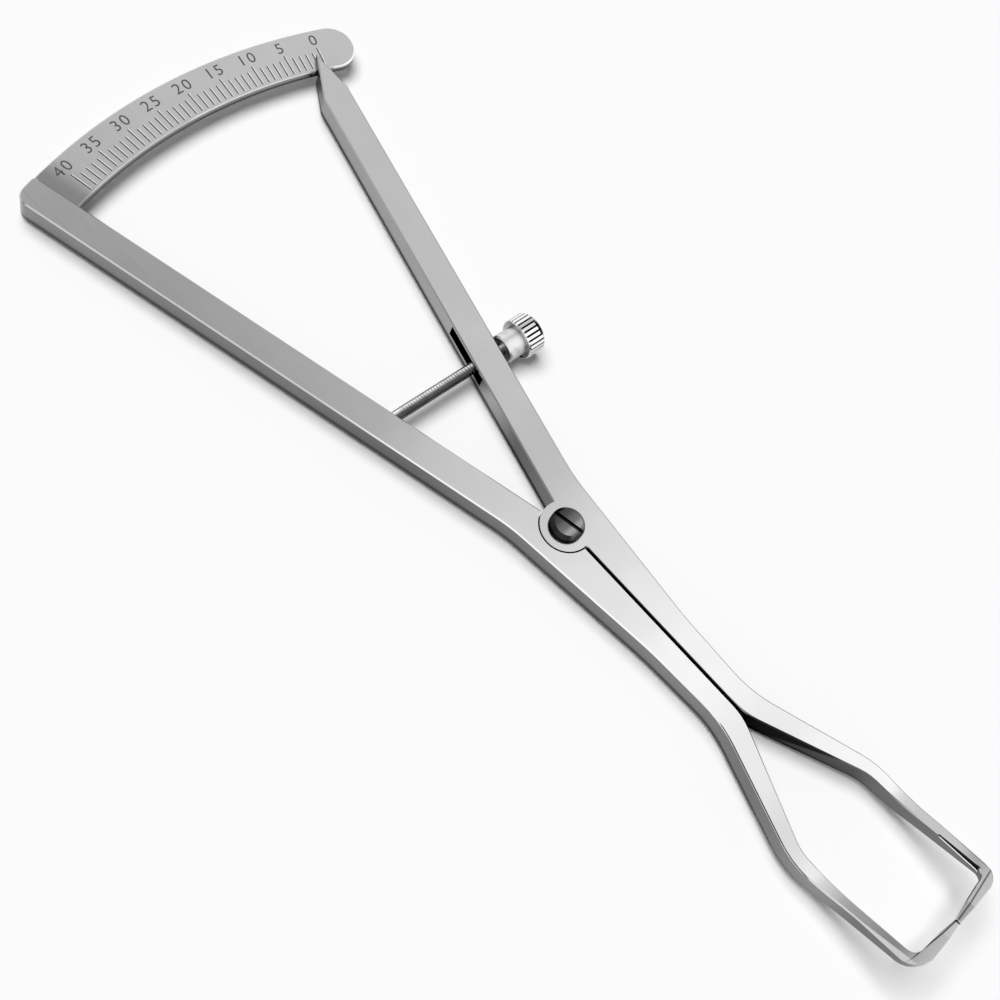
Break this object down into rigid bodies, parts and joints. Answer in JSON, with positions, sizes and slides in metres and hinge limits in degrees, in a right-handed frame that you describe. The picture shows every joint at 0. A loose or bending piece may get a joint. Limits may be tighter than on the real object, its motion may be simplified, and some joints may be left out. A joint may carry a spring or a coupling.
{
  "type": "surgical caliper",
  "caption": "Steel arms joined by a half-lap pivot, with inturned jaws, a curved scale plate and pointer, and a swinging rod whose thumb nut sets the opening.",
  "frame": {"origin": "on the pivot axis, at the undersides of the arms", "axes": "+X from the pivot to the jaw tips, +Y towards the moving handle and the thumb nut, +Z along the pivot axis out of the graduated side"},
  "size_m": [0.17, 0.0619, 0.0094],
  "materials": {
    "arm_steel": "satin stainless steel",
    "plate_steel": "satin stainless steel with engraved marks",
    "screw_steel": "turned stainless steel",
    "rod_steel": "polished stainless steel"
  },
  "bodies": {
    "frame_body": {"fixed_arm": "arm_steel", "scale_plate": "plate_steel", "scale_rivets": "arm_steel", "pivot_screw": "screw_steel", "rod_pin": "arm_steel"},
    "arm_body": {"moving_arm": "arm_steel"},
    "rod_body": {"threaded_rod": "rod_steel"},
    "collar_body": {"thrust_collar": "rod_steel"},
    "nut_body": {"thumb_nut": "rod_steel"}
  },
  "joints": [
    {"name": "arm_pivot", "type": "hinge", "parent": "frame_body", "child": "arm_body", "pos_m": [0, 0, 0], "axis": [0, 0, 1], "range_deg": [0, 30.29]},
    {"name": "rod_swing", "type": "hinge", "parent": "frame_body", "child": "rod_body", "pos_m": [-0.0289, -0.01055, 0.0025], "axis": [0, 0, 1], "range_deg": [0, 19.45]},
    {"name": "collar_slide", "type": "slide", "parent": "rod_body", "child": "collar_body", "axis": [0.075, 0.9972, 0], "range_m": [-0.01579, 0]},
    {"name": "nut_spin", "type": "hinge", "parent": "collar_body", "child": "nut_body", "pos_m": [-0.02686, 0.01653, 0.0025], "axis": [0.075, 0.9972, 0], "range_deg": [-11369.9, 0]}
  ],
  "couplings": [
    {"joint": "rod_swing", "follows": "arm_pivot", "ratio": 0.64196},
    {"joint": "collar_slide", "follows": "arm_pivot", "m_per_rad": -0.029844},
    {"joint": "nut_spin", "follows": "arm_pivot", "ratio": -375.03}
  ]
}
